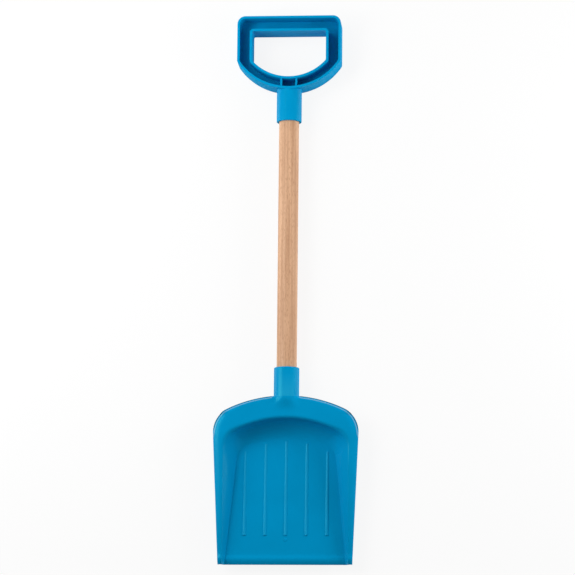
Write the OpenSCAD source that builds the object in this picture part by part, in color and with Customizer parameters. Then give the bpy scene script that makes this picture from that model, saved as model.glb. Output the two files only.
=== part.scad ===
// Child's sand shovel: a moulded D-grip and a moulded scoop on a round wooden stick.
// It lies on its back: X runs across, Y along the stick to the grip, Z up from the ground.

/* [Stick] */
// Diameter of the wooden stick
stick_d = 23; // [19:0.5:24]
// Length of stick seen between the two sockets
stick_show = 287; // [200:1:400]
// Depth of the stick in the grip
grip_seat = 35.5; // [28:0.5:36]
// Depth of the stick in the scoop
blade_seat = 40; // [32:0.5:42]
// Bevel on both ends of the stick
stick_bevel = 1; // [0.5:0.1:2]

/* [Sockets] */
// Outer diameter of both sockets
socket_d = 28.8; // [27.5:0.1:29]
// Gap all round between the stick and a socket
socket_clear = 0.05; // [0.02:0.01:0.15]
// Gap past each end of the stick
stick_end_gap = 0.5; // [0.3:0.1:1]
// Bevel on the mouth of each socket
socket_bevel = 0.7; // [0.3:0.1:1]
// Length of the grip's socket below its ring
grip_socket_show = 37; // [37:0.5:50]
// Length of the scoop's socket behind its rear edge
blade_socket_show = 32; // [26:0.5:45]
// Length over which the scoop's socket sinks into the land
socket_fade = 21; // [18:0.5:23]

/* [Grip ring] */
// Width of the ring
grip_w = 120; // [112:1:128]
// Depth of the ring from front to back
grip_depth = 29.4; // [29:0.1:34]
// Radius of the ring's round end
grip_arc_r = 71.5; // [68:0.5:80]
// Height of the ring above the centre of that round
grip_rise = 15; // [12:0.5:20]
// Radius of the two square corners
grip_corner_r = 9.3; // [6:0.1:14]
// Width of the hand opening
opening_w = 85.5; // [76:0.5:90]
// Radius of the opening's round end
opening_arc_r = 57; // [54:0.5:59]
// Drop of the opening's straight edge below the centre of the round
opening_drop = 3; // [1:0.5:8]
// Radius of the opening's two square corners
opening_corner_r = 1.6; // [1:0.1:4]
// Thickness of the ring's inner and outer walls
grip_wall = 2.8; // [2:0.1:3.4]
// Depth of the channel in the front
front_channel = 18.5; // [14:0.5:20]
// Thickness of the web between the two channels
grip_web = 3; // [2:0.1:4]
// Distance between the two ribs over the socket
grip_rib_gap = 17.4; // [14:0.2:22]
// Thickness of those ribs
grip_rib_t = 2; // [1.4:0.1:2.6]
// Drop of those ribs below the front rims
grip_rib_drop = 1.2; // [0.5:0.1:4]

/* [Scoop outline] */
// Length from the front edge to the rear edge
blade_len = 191.5; // [180:0.5:210]
// Greatest width
blade_w = 166; // [158:1:176]
// Width at the front edge
blade_front_w = 153.2; // [148:0.2:160]
// Distance from the front edge to the greatest width
blade_w_place = 149; // [135:1:155]
// Radius of the rear edge
rear_r = 156; // [140:1:180]
// Radius of the two shoulders
shoulder_r = 30.5; // [22:0.5:34]

/* [Scoop dish] */
// Thickness of the scoop
blade_wall = 2.8; // [2.2:0.1:3.2]
// Depth of the dish at its rear
dish_depth = 22.2; // [20.5:0.1:25]
// Width of the dish between the tops of its side walls
dish_w = 143; // [140:0.5:146]
// Width of the flat land behind the dish
land_w = 25; // [24:0.5:28]
// Radius of the dish's rear edge
dish_rear_r = 128; // [110:1:150]
// Radius of the dish's two rear corners
dish_corner_r = 14; // [10:0.5:20]
// Length of the rounded rear wall
cove_len = 22.5; // [20:0.5:25]
// Width of the floor at the front edge
floor_front_w = 137.4; // [132:0.2:139]
// Width of the floor where its rear corners begin
floor_rear_w = 113; // [106:0.5:118]
// Radius of the floor's rear edge
floor_rear_r = 150; // [130:1:180]
// Radius of the floor's two rear corners
floor_corner_r = 15; // [10:0.5:20]
// Rise of the floor from the heel to the front edge
floor_rise = 9.5; // [6:0.1:12]
// Height of the side walls at the front edge
front_wall_h = 5; // [4:0.1:7]
// Drop of the rim's rounded outer edge along the sides
side_roll = 4.2; // [2.5:0.1:5]
// Drop of the rim's rounded outer edge along the rear
rear_roll = 2.4; // [1.5:0.1:3]
// Inset of the rim's outer edge on the underside
edge_t = 1.6; // [1.2:0.1:2]

/* [Scoop front lip] */
// Length of the bevel on the front edge
lip_len = 6.5; // [5:0.1:8]
// Thickness of the front edge
lip_t = 1.3; // [1:0.1:1.8]
// Height of the low ridge behind the bevel
ridge_h = 0.9; // [0.4:0.1:1.2]
// Length of the slope up to that ridge
ridge_len = 5.5; // [4:0.1:8]

/* [Scoop ribs] */
// Number of ribs on the floor
rib_count = 5; // [3:2:5]
// Distance between the ribs
rib_pitch = 23.4; // [20:0.1:25]
// Width of a rib at the floor
rib_w = 4.2; // [3:0.1:5]
// Height of a rib at its front end
rib_h = 1.3; // [0.8:0.1:1.8]
// Distance from the front edge to the ribs
rib_front = 33.4; // [26:0.2:40]
// Gap from the middle rib's rear end to the rear wall
rib_rear_gap = 2.6; // [1:0.1:6]
// Radius of the arc on which the ribs end
rib_arc_r = 100; // [90:1:140]

/* [Screws] */
// Diameter of the screw's head
screw_head_d = 6; // [5:0.1:7]
// Diameter of the screw's shank
screw_d = 3; // [2.5:0.1:3.5]
// Length of the screw
screw_len = 13; // [10:0.5:15]
// Depth of the head below the socket's surface
screw_sink = 0.5; // [0.4:0.1:0.8]
// Gap round the screw in its holes
screw_clear = 0.05; // [0.02:0.01:0.1]
// Distance from a socket's mouth to its screw
screw_inset = 16; // [12:0.5:20]
// Width of the slots of the cross in the head
screw_slot_w = 0.9; // [0.6:0.1:1.2]
// Depth of that cross
screw_slot_h = 1; // [0.6:0.1:1.4]
// Length of its slots
screw_slot_len = 3.6; // [3:0.1:4.5]

/* [Hidden] */
$fn = 96;
overrun = 1;

// Places along the stick
total_len = blade_len + blade_socket_show + stick_show + grip_socket_show + grip_arc_r + grip_rise;
front_y = -total_len / 2;
rear_y = front_y + blade_len;
blade_mouth_y = rear_y + blade_socket_show;
grip_mouth_y = blade_mouth_y + stick_show;
grip_arc_y = grip_mouth_y + grip_socket_show + grip_arc_r;
blade_screw_y = blade_mouth_y - screw_inset;
grip_screw_y = grip_mouth_y + screw_inset;

// Heights
axis_z = grip_depth / 2;
socket_back_z = axis_z - socket_d / 2;
bore_r = stick_d / 2 + socket_clear;
back_channel = grip_depth - front_channel - grip_web;
rim_rear_z = blade_wall + dish_depth;
rim_front_z = blade_wall + floor_rise + front_wall_h;

// Share of the grip's outer wall that its socket reaches into
reach_share = 0.8;
// Place of the rim's rounded edge across the flange at the rear, from the dish outward
rear_roll_share = 0.86;
// Slant of the dish's sides from level, at the rear of the floor
side_slant = atan2(dish_depth, (dish_w - floor_rear_w) / 2);
// Curve of the rim's fall to the front: 1 is a straight line
rim_fall_power = 1.35;

// Plan curves of the scoop, each from its front edge: half width at the front, change of half
// width for each unit of length, length to the rear, radius of the rear and radius of the corners
outline_plan = [
    blade_front_w / 2,
    (blade_w - blade_front_w) / 2 / blade_w_place,
    blade_len,
    rear_r,
    shoulder_r
];
dish_plan = [dish_w / 2, 0, blade_len - land_w, dish_rear_r, dish_corner_r];
floor_len = blade_len - land_w - cove_len;
floor_side_len = floor_len - floor_corner_r;
floor_plan = [
    floor_front_w / 2,
    (floor_rear_w - floor_front_w) / 2 / floor_side_len,
    floor_len,
    floor_rear_r,
    floor_corner_r
];

// The same curves on the underside
side_grow = blade_wall * tan(side_slant / 2);
edge_under_plan = [
    outline_plan[0] - edge_t,
    outline_plan[1],
    blade_len - edge_t,
    rear_r - edge_t,
    shoulder_r - edge_t
];
dish_under_plan = [
    dish_plan[0] + side_grow,
    dish_plan[1],
    dish_plan[2] + blade_wall,
    dish_rear_r + blade_wall,
    dish_corner_r + blade_wall
];
floor_under_plan = [
    floor_plan[0] + side_grow,
    floor_plan[1],
    floor_len,
    floor_rear_r,
    floor_corner_r
];
flange_w = (blade_w - dish_w) / 2;

// Places along the sides, as shares of the front lip and then of the rest
lip_shares = [0, 0.3, 0.65, 1];
side_steps = 9;
corner_steps = 8;
rear_steps = 7;
// Places across the flange, from the outline to the dish
flange_shares = [1, 0.95, 0.86, 0.7, 0.45, 0.2];
wall_steps = 7;

function mix(a, b, t) = a + (b - a) * t;
function smooth(t) = let (c = min(max(t, 0), 1)) c * c * (3 - 2 * c);

// Height of the rim and of the floor at a distance from the front edge
function rim_z(v) =
    rim_rear_z - (rim_rear_z - rim_front_z) * pow(max(0, 1 - v / blade_w_place), rim_fall_power);
function floor_z(v) = blade_wall + floor_rise * (1 - v / floor_len);

// What the front lip adds to the upper face at a distance from the front edge
function lip_z(v) =
    v < lip_len
        ? mix(lip_t - blade_wall, ridge_h, sin(90 * v / lip_len))
        : ridge_h * (1 - smooth((v - lip_len) / ridge_len));

// Distances from the front edge of the places along a side that is this long
function side_places(side_len) = concat(
    lip_len * lip_shares,
    [lip_len + ridge_len / 2],
    [for (i = [0 : side_steps - 1]) mix(lip_len + ridge_len, side_len, i / side_steps)]
);

// Right half of a plan curve, from the front edge to the middle of the rear
function half_plan(plan) =
    let (
        slope = plan[1],
        big_y = plan[2] - plan[3],
        small_r = plan[4],
        slant = sqrt(1 + slope * slope),
        reach = plan[3] - small_r,
        start = plan[0] + slope * big_y - small_r * slant,
        lift = (-start * slope + sqrt(reach * reach * slant * slant - start * start)) / (slant * slant),
        centre = [start + slope * lift, big_y + lift],
        from = atan2(-slope, 1),
        to = atan2(lift, centre[0]),
        side_len = centre[1] + small_r * sin(from)
    )
    concat(
        [for (v = side_places(side_len)) [plan[0] + slope * v, v]],
        [
            for (i = [0 : corner_steps - 1])
                let (a = mix(from, to, i / corner_steps))
                centre + small_r * [cos(a), sin(a)]
        ],
        [
            for (i = [0 : rear_steps])
                let (a = mix(to, 90, i / rear_steps))
                i == rear_steps ? [0, plan[2]] : [plan[3] * cos(a), big_y + plan[3] * sin(a)]
        ]
    );

// Whole plan curve, from the right end of the front edge round the rear to the left end
function whole_plan(plan) =
    let (half = half_plan(plan), n = len(half))
    concat(half, [for (i = [n - 2 : -1 : 0]) [-half[i][0], half[i][1]]]);

// Plan curves of the upper face and of the under face
upper_skin = [for (plan = [outline_plan, dish_plan, floor_plan]) whole_plan(plan)];
under_skin = [for (plan = [edge_under_plan, dish_under_plan, floor_under_plan]) whole_plan(plan)];
curve_n = len(upper_skin[0]);
middle = (curve_n - 1) / 2;
side_n = len(lip_shares) + 1 + side_steps;

// How round the dish's wall is at a place on the curve: 0 along the sides, 1 along the rear
function roundness(i) =
    let (k = i > middle ? curve_n - 1 - i : i)
    smooth((k - side_n) / corner_steps);

// Point of a face between the dish and the outline, which rolls down to its outer edge
function flange_point(skin, i, share) =
    let (
        p = mix(skin[1][i], skin[0][i], share),
        width = norm(upper_skin[0][i] - upper_skin[1][i]),
        from = rear_roll_share * roundness(i),
        t = max(0, share - from) / (1 - from),
        roll = mix(side_roll * min(1, width / flange_w), rear_roll, roundness(i))
    )
    [p[0], p[1], rim_z(p[1]) - roll * t * t];

// Point of a face between the top of the dish and its floor: slanted sides, rounded rear
function wall_point(skin, i, t) =
    let (
        q = roundness(i),
        p = mix(skin[1][i], skin[2][i], mix(t, 1 - cos(90 * t), q)),
        top = rim_z(skin[1][i][1]),
        bottom = floor_z(skin[2][i][1])
    )
    [p[0], p[1], mix(top, bottom, mix(t, sin(90 * t), q))];

// Rows of points of a face, from the outline down to the floor
function skin_points(skin) = concat(
    [for (s = flange_shares) for (i = [0 : curve_n - 1]) flange_point(skin, i, s)],
    [for (t = [0 : wall_steps]) for (i = [0 : curve_n - 1]) wall_point(skin, i, t / wall_steps)]
);
row_n = len(flange_shares) + wall_steps + 1;
scoop_top = [for (p = skin_points(upper_skin)) p + [0, 0, lip_z(p[1])]];
scoop_under = [for (p = skin_points(under_skin)) p - [0, 0, blade_wall]];
scoop_n = len(scoop_top);

// The front edge runs in from the right of the outline and out again to the left
front_edge = concat(
    [for (j = [0 : row_n - 1]) j * curve_n],
    [for (j = [row_n - 1 : -1 : 0]) j * curve_n + curve_n - 1]
);

function strip(a, b, c, d) = [[a, b, c], [a, c, d]];
function flipped(faces) = [for (f = faces) [f[2], f[1], f[0]]];
function lowered(faces) = [for (f = faces) [for (k = f) k + scoop_n]];
upper_faces = concat(
    [
        for (j = [0 : row_n - 2])
            for (i = [0 : curve_n - 2])
                let (a = j * curve_n + i, b = a + curve_n)
                each strip(a, b, b + 1, a + 1)
    ],
    [
        for (i = [0 : middle - 1])
            let (a = (row_n - 1) * curve_n, b = a + curve_n - 1)
            each i == middle - 1
                ? [[a + i, b - i, a + middle]]
                : strip(a + i, b - i, b - i - 1, a + i + 1)
    ]
);
edge_faces = [
    for (i = [0 : curve_n - 2])
        each strip(i, i + 1, i + 1 + scoop_n, i + scoop_n)
];
front_faces = [
    for (k = [0 : len(front_edge) - 2])
        let (a = front_edge[k], b = front_edge[k + 1])
        each strip(a, a + scoop_n, b + scoop_n, b)
];

// Piece to draw

// Points a shape's own Z axis along the stick, to the grip
module along_stick(y) {
    translate([0, y, axis_z])
        rotate([-90, 0, 0])
            children();
}

// Round tube that opens at its own zero, with a bevelled mouth
module socket_body(length) {
    rotate_extrude()
        polygon([
            [0, 0],
            [socket_d / 2 - socket_bevel, 0],
            [socket_d / 2, socket_bevel],
            [socket_d / 2, length],
            [0, length]
        ]);
}

module socket_bore(seat) {
    translate([0, 0, -overrun])
        cylinder(r = bore_r, h = overrun + seat + stick_end_gap);
}

// Screw that points up from the back of a socket
module screw_shape(y, gap, cap) {
    translate([0, y, socket_back_z + screw_sink])
        rotate_extrude()
            polygon([
                [0, -cap],
                [screw_head_d / 2 + gap, -cap],
                [screw_head_d / 2 + gap, 0],
                [screw_d / 2 + gap, (screw_head_d - screw_d) / 2],
                [screw_d / 2 + gap, screw_len + gap],
                [0, screw_len + gap]
            ]);
}

module screw_hole(y) {
    screw_shape(y, screw_clear, screw_sink + overrun);
}

// Ring plan round the centre of its arc: straight edge at rise, round end below
module d_plan(w, rise, arc_r, corner_r) {
    knee = sqrt(arc_r * arc_r - w * w / 4);
    intersection() {
        circle(r = arc_r);
        translate([-w / 2, -arc_r])
            square([w, arc_r + (rise - knee) / 2]);
    }
    translate([-w / 2, -knee])
        square([w, knee + rise - corner_r]);
    translate([corner_r - w / 2, -knee])
        square([w - 2 * corner_r, knee + rise]);
    for (side = [-1, 1])
        translate([side * (w / 2 - corner_r), rise - corner_r])
            circle(r = corner_r);
}

module opening_plan(grow) {
    d_plan(opening_w + 2 * grow, grow - opening_drop, opening_arc_r + grow, opening_corner_r + grow);
}

module ring_plan(shrink) {
    d_plan(grip_w - 2 * shrink, grip_rise - shrink, grip_arc_r - shrink, grip_corner_r - shrink);
}

module channel_plan() {
    difference() {
        ring_plan(grip_wall);
        opening_plan(grip_wall);
    }
}

// Part of the channel over the socket, of this width
module channel_middle(w) {
    intersection() {
        channel_plan();
        translate([-w / 2, -grip_arc_r])
            square([w, grip_arc_r]);
    }
}

module grip() {
    color([0, 0.5, 0.72])
        difference() {
            union() {
                translate([0, grip_arc_y, 0])
                    grip_ring();
                along_stick(grip_mouth_y)
                    socket_body(grip_socket_show + reach_share * grip_wall);
            }
            along_stick(grip_mouth_y)
                socket_bore(grip_seat);
            screw_hole(grip_screw_y);
        }
}

module grip_ring() {
    difference() {
        linear_extrude(grip_depth)
            ring_plan(0);
        translate([0, 0, -overrun])
            linear_extrude(grip_depth + 2 * overrun)
                opening_plan(0);
        translate([0, 0, grip_depth - front_channel])
            linear_extrude(front_channel + overrun)
                channel_plan();
        translate([0, 0, -overrun])
            linear_extrude(back_channel + overrun)
                channel_plan();
    }
    translate([0, 0, grip_depth - front_channel])
        linear_extrude(front_channel - grip_rib_drop)
            difference() {
                channel_middle(grip_rib_gap + grip_rib_t);
                channel_middle(grip_rib_gap - grip_rib_t);
            }
}

module stick() {
    length = grip_seat + stick_show + blade_seat;
    color([0.82, 0.65, 0.5])
        difference() {
            along_stick(blade_mouth_y - blade_seat)
                rotate_extrude()
                    polygon([
                        [0, 0],
                        [stick_d / 2 - stick_bevel, 0],
                        [stick_d / 2, stick_bevel],
                        [stick_d / 2, length - stick_bevel],
                        [stick_d / 2 - stick_bevel, length],
                        [0, length]
                    ]);
            for (y = [blade_screw_y, grip_screw_y])
                screw_hole(y);
        }
}

// Dished shell, lofted from the outline over the rim and down the wall to the floor
module scoop_shell() {
    translate([0, front_y, 0])
        polyhedron(
            points = concat(scoop_top, scoop_under),
            faces = concat(upper_faces, flipped(lowered(upper_faces)), edge_faces, front_faces)
        );
}

// Lower half of the socket, from the rear edge to the middle of the cove's wall
module socket_keel() {
    difference() {
        intersection() {
            along_stick(front_y + floor_len)
                cylinder(r = socket_d / 2, h = blade_len - floor_len);
            translate([-socket_d / 2, front_y, 0])
                cube([socket_d, blade_len, rim_rear_z - blade_wall / 2]);
        }
        translate([-socket_d, front_y + floor_len, rim_rear_z])
            rotate([0, 90, 0])
                cylinder(r = dish_depth + blade_wall / 2, h = 2 * socket_d);
    }
}

// Front of the socket, sinking into the land
module socket_nose() {
    along_stick(rear_y - socket_fade)
        cylinder(r1 = rim_rear_z - axis_z, r2 = socket_d / 2, h = socket_fade);
}

module scoop_rib(x) {
    rear = floor_len - rib_rear_gap - (rib_arc_r - sqrt(rib_arc_r * rib_arc_r - x * x));
    length = rear - rib_front;
    bead_r = (rib_w * rib_w / 4 + rib_h * rib_h) / (2 * rib_h);
    translate([x, front_y + rear, floor_z(rear)])
        rotate([90 - atan2(floor_rise, floor_len) - atan2(rib_h, length), 0, 0])
            linear_extrude(length)
                translate([0, -bead_r])
                    intersection() {
                        circle(r = bead_r);
                        translate([-bead_r, bead_r - rib_h - blade_wall / 2])
                            square([2 * bead_r, rib_h + blade_wall]);
                    }
}

module blade() {
    color([0, 0.53, 0.75])
        difference() {
            union() {
                scoop_shell();
                translate([0, blade_mouth_y, axis_z])
                    rotate([90, 0, 0])
                        socket_body(blade_socket_show);
                socket_nose();
                socket_keel();
                for (k = [0 : rib_count - 1])
                    scoop_rib((k - (rib_count - 1) / 2) * rib_pitch);
            }
            translate([0, blade_mouth_y, axis_z])
                rotate([90, 0, 0])
                    socket_bore(blade_seat);
            screw_hole(blade_screw_y);
        }
}

module fixing_screws() {
    color([0.75, 0.76, 0.78])
        for (y = [blade_screw_y, grip_screw_y])
            difference() {
                screw_shape(y, 0, 0);
                for (turn = [0, 90])
                    translate([0, y, socket_back_z + screw_sink])
                        rotate([0, 0, turn])
                            cube([screw_slot_len, screw_slot_w, 2 * screw_slot_h], center = true);
            }
}

grip();
stick();
blade();
fixing_screws();
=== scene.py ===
"""Looks of a child's sand shovel: moulded scoop and grip, wooden stick and screws, on a pale floor."""
import math
from contextlib import contextmanager

import bmesh
import bpy
import numpy as np
from bpy.props import FloatProperty, FloatVectorProperty, IntProperty, PointerProperty
from mathutils import Matrix, Vector


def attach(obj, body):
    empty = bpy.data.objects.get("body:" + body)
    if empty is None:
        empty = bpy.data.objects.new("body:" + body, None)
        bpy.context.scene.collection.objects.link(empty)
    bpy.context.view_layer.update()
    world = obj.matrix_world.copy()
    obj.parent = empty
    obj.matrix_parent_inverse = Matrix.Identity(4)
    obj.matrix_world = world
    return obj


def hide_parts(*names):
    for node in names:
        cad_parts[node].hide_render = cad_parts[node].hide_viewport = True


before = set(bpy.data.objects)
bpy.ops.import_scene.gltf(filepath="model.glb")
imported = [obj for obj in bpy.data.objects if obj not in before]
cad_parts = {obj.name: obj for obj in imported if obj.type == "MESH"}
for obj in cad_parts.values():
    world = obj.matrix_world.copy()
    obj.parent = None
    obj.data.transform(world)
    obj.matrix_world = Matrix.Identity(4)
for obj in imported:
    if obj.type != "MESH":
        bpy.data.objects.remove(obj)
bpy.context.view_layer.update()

bl_info = {
    "name": "Sand shovel",
    "version": (1, 0, 0),
    "blender": (4, 5, 0),
    "location": "3D View > Sidebar > Shovel",
    "description": "Builds a child's sand shovel and the stage it lies on",
    "category": "Object",
}

MM = 0.001
BODY = "root"

# Points nearer than this are one point, when a shape is made and when a piece is cleaned
SAME_POINT, SLIVER = 1e-7, 1e-6

# Points round the stick and the sockets, and round what is small
ROUND, SMALL_ROUND = 96, 48

# How far a cutting shape reaches out of the surface
OVERRUN = 2 * MM

# How much thinner than the socket its nose and its keel are, so that no two surfaces coincide
NOSE_INSET, KEEL_INSET = 0.04 * MM, 0.03 * MM

# How far the keel reaches back into the socket, and the points round the cove that is cut out of it
KEEL_START, COVE_ROUND = 3 * MM, 128

# Steps along the grip's outlines: straight edges, corners and round end
EDGE_STEPS, CORNER_STEPS, ARC_STEPS = 8, 10, 32

# Share of the ring's wall that the grip's socket runs into
GRIP_REACH = 0.8

# Height of the moulding mark's middle as a share of its rim's height, and the points round it
GATE_DISH, GATE_ROUND = 0.8, 40

# Points round a rib's section, and the thickness of a screw's shank as a share of its neck's
RIB_ROUND, SHANK_SHARE = 15, 0.98

# Rows along the stick, and its waves: radians per metre, waves round the stick, start
STICK_ROWS = 90
WAVES = ((37, 2, 0), (83, -3, 1), (141, 1, 2))

# How strongly a bend between faces counts as an edge, and how strongly the crown of a rib is marked as worn
# and as a painted highlight
EDGE_GAIN, CROWN_WEAR_AND_SHEEN = 3, 0.8

# Inputs and outputs of the shared grain
GRAIN_SCALES = ("Cloud scale", "Grain scale", "Scratch scale")
GRAIN_MASKS = ("Cloud", "Grain", "Scratch")

# Scratches: how far they are drawn out, their turn, the scale of their spots, and the spans of both noises
SCRATCH_DRAW, SCRATCH_TURN, SCRATCH_SPOTS = 0.012, 0.09, 42.0
SCRATCH_LINES, SCRATCH_PATCHES = (0.66, 0.74), (0.48, 0.62)

# Spans in which most values of a noise lie
CLOUDING, NARROW_CLOUDING = (0.3, 0.7), (0.35, 0.65)

# Plastic: spans of the marks that wear an edge (on the ribs' crowns also a painted highlight), begin and end
# the painted highlight line along the rim, and paint shade on the rim's edge
EDGE_WEAR_AND_SHEEN, HIGHLIGHT_START, HIGHLIGHT_END, SHADED_EDGE = (0.25, 0.9), (0.2, 0.3), (0.4, 0.5), (0.56, 0.7)

# Plastic: its roughness, and the span of low angles at which it is rougher, by at most so much
SATIN, GRAZING, GRAZING_ROUGH = (0.22, 0.27), (0.45, 0.8), 0.6

# Wood: spans of noise that make its streaks and its flecks, and its roughness; then the steel's roughness
STREAKS, FLECKS, SANDED = (0.42, 0.68), (0.57, 0.66), (0.5, 0.66)
BRUSHED = (0.24, 0.42)

# Camera's sensor in millimetres and the farthest that it sees in metres
SENSOR_WIDTH, FARTHEST = 36, 20


def length(name, description, millimetres):
    """A size of the shovel, given in millimetres and kept in metres."""
    return FloatProperty(
        name=name, description=description, default=millimetres * MM, min=0, precision=5, unit="LENGTH"
    )


def number(name, description, default):
    """A plain value."""
    return FloatProperty(name=name, description=description, default=default)


def angle(name, description, degrees):
    """An angle, given in degrees and kept in radians."""
    return FloatProperty(name=name, description=description, default=math.radians(degrees), subtype="ANGLE")


def colour(name, description, default):
    """A colour as shares of red, green and blue light."""
    return FloatVectorProperty(
        name=name, description=description, default=default, size=3, min=0, max=1, subtype="COLOR"
    )


class StickSizes(bpy.types.PropertyGroup):
    """Sizes of the wooden stick and of the two sockets that hold it"""

    diameter: length("Diameter", "Thickness of the stick", 23)
    shown: length("Shown", "Length of stick between the two sockets", 287)
    grip_seat: length("In the grip", "Depth of the stick in the grip", 35.5)
    scoop_seat: length("In the scoop", "Depth of the stick in the scoop", 40)
    bevel: length("Bevel", "Bevel on both ends of the stick", 1)
    waver: length("Waver", "How far the sanded surface strays from a true round", 0.05)
    socket_diameter: length("Socket", "Outer diameter of both sockets", 28.8)
    socket_gap: length("Socket gap", "Gap round the stick in a socket", 0.05)
    end_gap: length("End gap", "Gap past each end of the stick", 0.5)
    mouth_round: length("Mouth", "Rounding of the mouth of a socket", 0.7)
    mouth_inner: length("Inner mouth", "Rounding of the inner edge of a mouth", 0.4)
    grip_socket: length("Grip socket", "Length of the grip's socket below its ring", 37)
    scoop_socket: length("Scoop socket", "Length of the scoop's socket behind its rear edge", 32)


class GripSizes(bpy.types.PropertyGroup):
    """Sizes of the D-shaped grip"""

    width: length("Width", "Width of the ring", 120)
    depth: length("Depth", "Depth of the ring from front to back", 29.4)
    arc: length("Round end", "Radius of the ring's round end", 71.5)
    rise: length("Rise", "Height of the ring above the centre of its round end", 15)
    corner: length("Corner", "Radius of the two square corners", 9.3)
    opening: length("Opening", "Width of the hand opening", 85.5)
    opening_arc: length("Opening round", "Radius of the opening's round end", 57)
    opening_drop: length("Opening drop", "Drop of the opening's straight edge below that centre", 3)
    opening_corner: length("Opening corner", "Radius of the opening's square corners", 1.6)
    wall: length("Wall", "Thickness of the inner and outer walls", 2.8)
    channel: length("Channel", "Depth of the channel in the front", 18.5)
    web: length("Web", "Thickness of the web between the channels", 3)
    rib_gap: length("Rib gap", "Distance between the two ribs over the socket", 17.4)
    rib: length("Rib", "Thickness of those ribs", 2)
    rib_drop: length("Rib drop", "Drop of those ribs below the rims", 1.2)
    rib_round: length("Rib round", "Rounding of the tops of those ribs", 0.35)
    knee_round: length("Knee", "Rounding where the sides meet the round end", 1.6)
    rim_round: length("Rim round", "Rounding of the rims", 0.5)
    root_round: length("Root round", "Rounding where the walls meet the web", 0.9)


class ScoopSizes(bpy.types.PropertyGroup):
    """Sizes of the scoop"""

    length: length("Length", "Front edge to rear edge", 191.5)
    width: length("Width", "Greatest width", 166)
    front_width: length("Front width", "Width at the front edge", 153.2)
    width_place: length("Width place", "Distance from the front edge to the greatest width", 149)
    rear_arc: length("Rear", "Radius of the rear edge", 156)
    shoulder: length("Shoulder", "Radius of the two shoulders", 30.5)
    wall: length("Wall", "Thickness of the scoop", 2.8)
    dish_depth: length("Dish depth", "Depth of the dish at its rear", 22.2)
    dish_width: length("Dish width", "Width between the tops of the side walls", 143)
    land: length("Land", "Width of the flat land behind the dish", 26.5)
    dish_arc: length("Dish rear", "Radius of the dish's rear edge", 128)
    dish_corner: length("Dish corner", "Radius of the dish's rear corners", 22)
    cove: length("Cove", "Length of the rounded rear wall", 21)
    floor_front: length("Floor front", "Width of the floor at the front edge", 137.4)
    floor_rear: length("Floor rear", "Width of the floor where its rear corners begin", 113)
    floor_arc: length("Floor arc", "Radius of the floor's rear edge", 150)
    floor_corner: length("Floor corner", "Radius of the floor's rear corners", 20)
    floor_rise: length("Floor rise", "Rise of the floor from the heel to the front edge", 9.5)
    front_wall: length("Front wall", "Height of the side walls at the front edge", 5)
    side_roll: length("Side roll", "Drop of the rim's rounded edge along the sides", 4.2)
    rear_roll: length("Rear roll", "Drop of the rim's rounded edge along the rear", 2.4)
    edge: length("Edge", "Inset of the rim's edge on the underside", 1.6)
    lip: length("Lip", "Length of the bevel on the front edge", 6.5)
    lip_edge: length("Lip edge", "Thickness of the front edge", 1.3)
    ridge: length("Ridge", "Height of the low ridge behind the bevel", 0.9)
    ridge_slope: length("Ridge slope", "Length of the slope up to that ridge", 5.5)
    fade: length("Socket fade", "Length over which the socket sinks into the land", 21)
    rib_pitch: length("Rib pitch", "Distance between the ribs", 23.4)
    rib_width: length("Rib width", "Width of a rib at the floor", 4.4)
    rib_height: length("Rib height", "Height of a rib at its front end", 1.1)
    rib_front: length("Rib front", "Distance from the front edge to the ribs", 33.4)
    rib_gap: length("Rib rear gap", "Gap from the middle rib to the rear wall", 2.6)
    rib_arc: length("Rib arc", "Radius of the arc on which the ribs end", 100)
    rib_sink: number("Rib sink", "Share of its height that a rib loses to its rear", 0.6)
    rib_root: length("Rib root", "Depth of a rib's root under the floor", 0.7)
    rib_count: IntProperty(name="Ribs", description="Number of ribs on the floor", default=5, min=1)
    gate_place: length("Gate place", "Distance from the front edge to the moulding mark", 28)
    gate_radius: length("Gate radius", "Radius of the moulding mark", 2)
    gate_height: length("Gate height", "Height of the moulding mark", 0.35)


class ScrewSizes(bpy.types.PropertyGroup):
    """Sizes of the screws at the back of the sockets"""

    head: length("Head", "Diameter of the head", 6)
    shank: length("Shank", "Diameter of the shank", 3)
    length: length("Length", "Length of the screw", 13)
    sink: length("Sink", "Depth of the head below the socket's surface", 0.5)
    gap: length("Gap", "Gap round the screw", 0.05)
    inset: length("Inset", "Distance from a socket's mouth to its screw", 16)
    slot: length("Slot", "Width of the slots in the head", 0.9)
    slot_depth: length("Slot depth", "Depth of the slots", 1)
    slot_length: length("Slot length", "Length of the slots", 3.6)


class Finishes(bpy.types.PropertyGroup):
    """Colours of the shovel"""

    plastic: colour("Plastic", "Colour of the scoop and the grip", (0.0, 0.29, 0.58))
    # Also the colour of the painted highlight on the ribs' crowns
    plastic_worn_and_sheen: colour("Worn plastic", "Colour that worn plastic turns toward", (0.1, 0.8, 0.9))
    wood_pale: colour("Pale wood", "Colour of the wood between its flecks", (0.76, 0.468, 0.288))
    wood_dark: colour("Dark wood", "Colour of the wood's streaks", (0.44, 0.225, 0.12))
    steel: colour("Steel", "Colour of the screws", (0.66, 0.67, 0.69))


class StageSettings(bpy.types.PropertyGroup):
    """Camera, lights and floor"""

    distance: length("Distance", "Distance of the camera from the middle of the stick", 3564)
    image_width: number("Image width", "Width of the image in pixels", 575)
    focal: number("Focal length", "Focal length in pixels", 3117)
    pitch: angle("Pitch", "Lean of the view to the scoop's end", 10.37)
    yaw: angle("Yaw", "Lean of the view to the right", 4.5)
    roll: angle("Roll", "Turn of the image", 0.57)
    drop: length("Drop", "How far the camera is moved down", 0.17)
    fill: number("Fill", "Strength of the light from all round", 0.22)
    floor: colour("Floor", "Colour of the floor", (0.86, 0.86, 0.86))
    floor_half: length("Floor half", "Half the width of the floor", 4000)
    floor_white: number("Floor white", "Share of plain white in what the camera sees of the floor", 0.88)


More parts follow.
